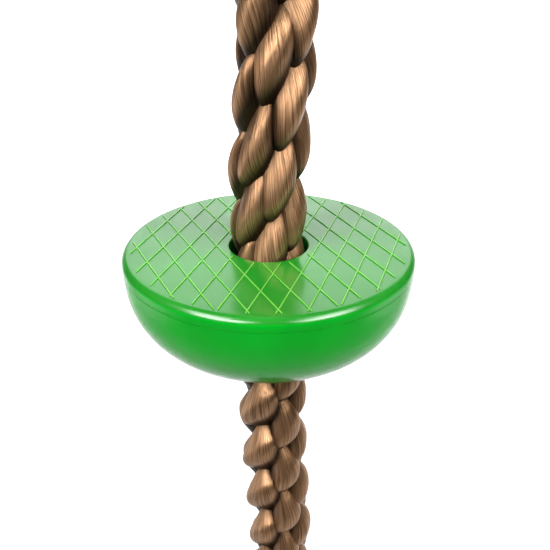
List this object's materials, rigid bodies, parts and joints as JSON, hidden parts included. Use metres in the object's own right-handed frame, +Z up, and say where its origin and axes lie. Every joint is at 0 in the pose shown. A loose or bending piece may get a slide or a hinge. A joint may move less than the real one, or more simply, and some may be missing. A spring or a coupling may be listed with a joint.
{
  "type": "climbing rope with foot platform",
  "caption": "Thick braided climbing rope with a half-ball foot platform clamped on it, hung from a beam bracket by a screw-gate carabiner and a swivel socket.",
  "frame": {"origin": "centre of the hanger bracket's upper face, where it bolts under a beam", "axes": "+Z up, out of the bracket's face into the beam; X left to right across the front, with the carabiner's gate on +X; +Y from the front to the back, along the pivot bolt"},
  "size_m": [0.12, 0.12, 0.597],
  "materials": {
    "zinc_steel": "satin zinc plate",
    "forged_steel": "matt hot-dip galvanised",
    "carabiner_steel": "polished, lightly worn",
    "sleeve_steel": "fluted, satin",
    "spring_steel": "bright wire",
    "bush_bronze": "machined bronze",
    "rope_fibre": "smooth shiny filament bundles, braided",
    "boot_rubber": "moulded, matt",
    "green_plastic": "glossy, slightly translucent",
    "clamp_alloy": "as cast"
  },
  "bodies": {
    "hanger": {"hanger_bracket": "zinc_steel", "pivot_bolt": "zinc_steel", "pivot_nut": "zinc_steel", "pivot_washers": "zinc_steel"},
    "link": {"hanger_link": "forged_steel", "link_bushes": "bush_bronze"},
    "carabiner": {"carabiner_body": "carabiner_steel", "gate_rivet": "zinc_steel"},
    "gate": {"carabiner_gate": "carabiner_steel", "gate_spring": "spring_steel"},
    "sleeve": {"lock_sleeve": "sleeve_steel"},
    "swivel": {"swivel_eye": "forged_steel", "thrust_washer": "zinc_steel", "swivel_nut": "zinc_steel"},
    "climbing_rope": {"swivel_bush": "bush_bronze", "rope_socket": "forged_steel", "socket_bolts": "zinc_steel", "socket_nuts": "zinc_steel", "rope": "rope_fibre", "end_boot": "boot_rubber", "boot_band": "zinc_steel", "tread_cover": "green_plastic", "bowl_shell": "green_plastic", "cover_screws": "zinc_steel", "clamp_half_left": "clamp_alloy", "clamp_half_right": "clamp_alloy", "clamp_bolts": "zinc_steel", "clamp_nuts": "zinc_steel"}
  },
  "joints": [
    {"name": "link_swing", "type": "hinge", "parent": "hanger", "child": "link", "pos_m": [0, 0, -0.026], "axis": [0, 1, 0], "range_deg": [-50, 50]},
    {"name": "carabiner_swing", "type": "hinge", "parent": "link", "child": "carabiner", "pos_m": [0, 0, -0.0617], "axis": [1, 0, 0], "range_deg": [-45, 45]},
    {"name": "gate_open", "type": "hinge", "parent": "carabiner", "child": "gate", "pos_m": [0.02, 0, -0.1257], "axis": [0, -1, 0], "range_deg": [0, 28], "stiffness_Nm_per_rad": 0.12, "springref_deg": -22.92},
    {"name": "sleeve_lock", "type": "slide", "parent": "gate", "child": "sleeve", "axis": [0, 0, 1], "range_m": [0, 0.0105]},
    {"name": "eye_swing", "type": "hinge", "parent": "carabiner", "child": "swivel", "pos_m": [0, 0, -0.1517], "axis": [1, 0, 0], "range_deg": [-45, 45]},
    {"name": "rope_spin", "type": "hinge", "parent": "swivel", "child": "climbing_rope", "pos_m": [0, 0, -0.2], "axis": [0, 0, 1], "continuous": true}
  ]
}
